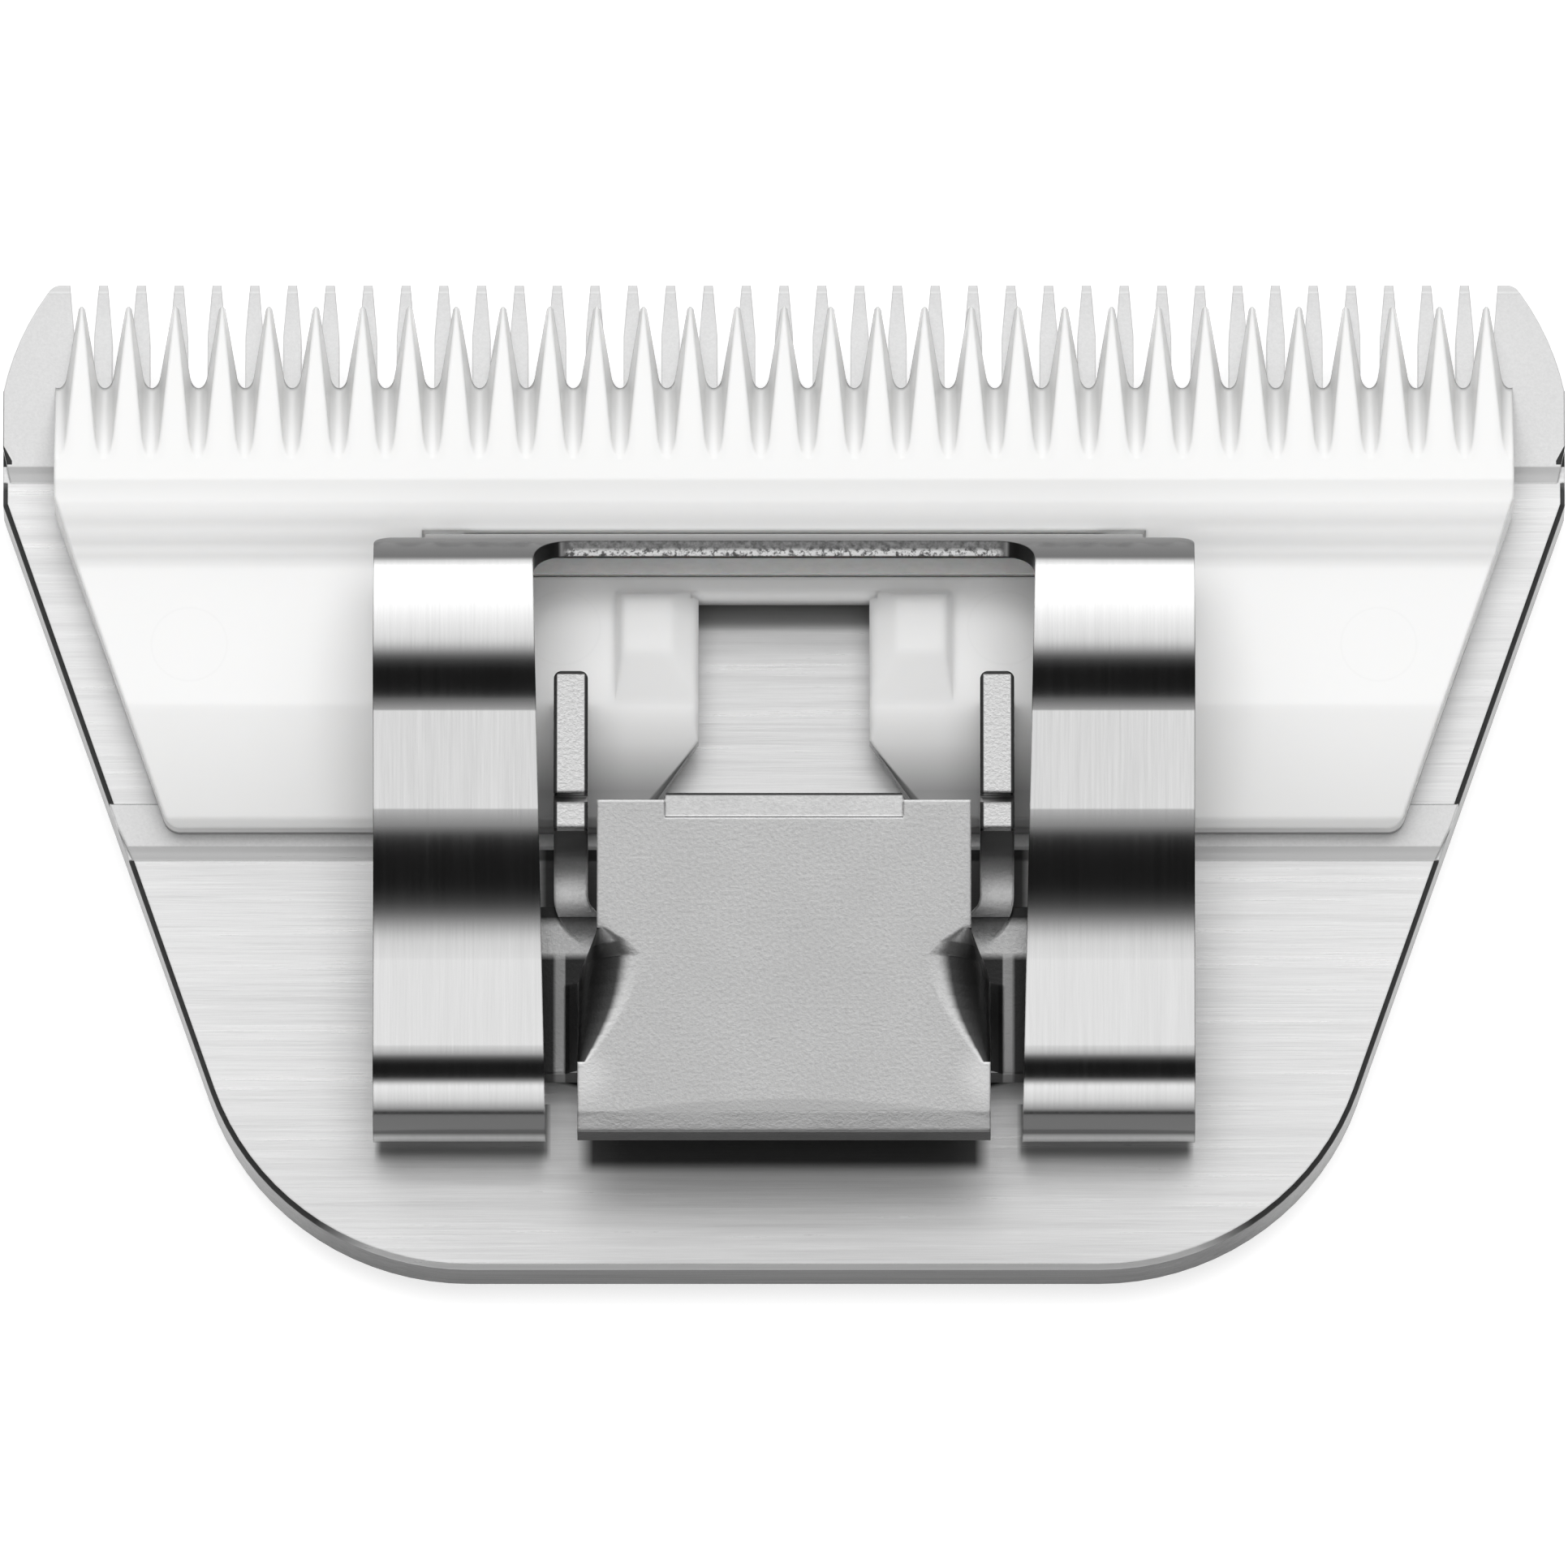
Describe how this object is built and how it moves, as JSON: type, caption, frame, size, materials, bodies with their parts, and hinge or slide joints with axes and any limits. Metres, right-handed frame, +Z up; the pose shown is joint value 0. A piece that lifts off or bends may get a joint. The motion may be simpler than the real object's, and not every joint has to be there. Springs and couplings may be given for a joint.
{
  "type": "hair clipper blade",
  "caption": "Wide detachable clipper blade set: toothed steel comb, white ceramic cutter that slides across it, bent tension spring and folded hinge socket.",
  "frame": {"origin": "middle of the comb's flat underside", "axes": "+X across the blade along the row of teeth, +Y towards the tooth tips, +Z up out of the comb plate"},
  "size_m": [0.06, 0.039, 0.0106],
  "materials": {
    "comb_steel": "ground and brushed across",
    "cutter_ceramic": "fine white zirconia, satin",
    "spring_steel": "satin, fine lengthwise grain",
    "socket_steel": "tumbled matte",
    "guide_nylon": "natural nylon",
    "screw_steel": "turned, bright"
  },
  "bodies": {
    "base": {"comb": "comb_steel", "tension_spring": "spring_steel", "hinge_socket": "socket_steel", "cutter_guide": "guide_nylon", "clamp_screws": "screw_steel"},
    "cutter": {"ceramic_cutter": "cutter_ceramic"}
  },
  "joints": [
    {"name": "cutter_slide", "type": "slide", "parent": "base", "child": "cutter", "axis": [1, 0, 0], "range_m": [-0.0015, 0.0015]}
  ]
}
